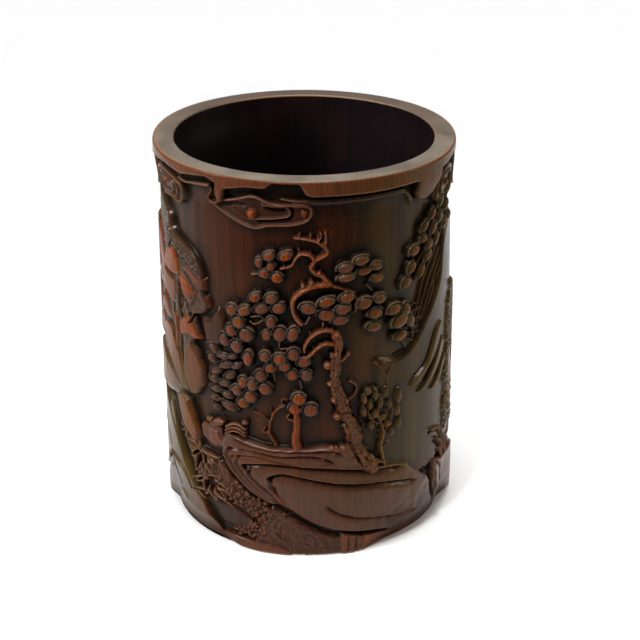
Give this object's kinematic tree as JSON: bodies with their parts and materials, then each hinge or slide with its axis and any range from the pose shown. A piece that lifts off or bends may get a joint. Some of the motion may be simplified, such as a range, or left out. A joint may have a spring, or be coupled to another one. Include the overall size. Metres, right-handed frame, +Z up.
{
  "type": "brush pot",
  "caption": "Cylindrical brush pot of carved bamboo culm with a let-in wooden floor, for standing brushes and pens upright on a desk.",
  "frame": {"origin": "centre of the foot ring, on the surface the pot stands on", "axes": "+Z up the middle of the well, -Y towards the front of the carving, +X to its right"},
  "size_m": [0.122, 0.122, 0.166],
  "materials": {
    "carved_bamboo": "waxed and hand-worn, semi-gloss",
    "floor_wood": "oiled, satin",
    "lacquer": "dark lacquer putty"
  },
  "bodies": {
    "root": {"carved_culm": "carved_bamboo", "floor_disc": "floor_wood", "lacquer_seal": "lacquer"}
  },
  "joints": []
}
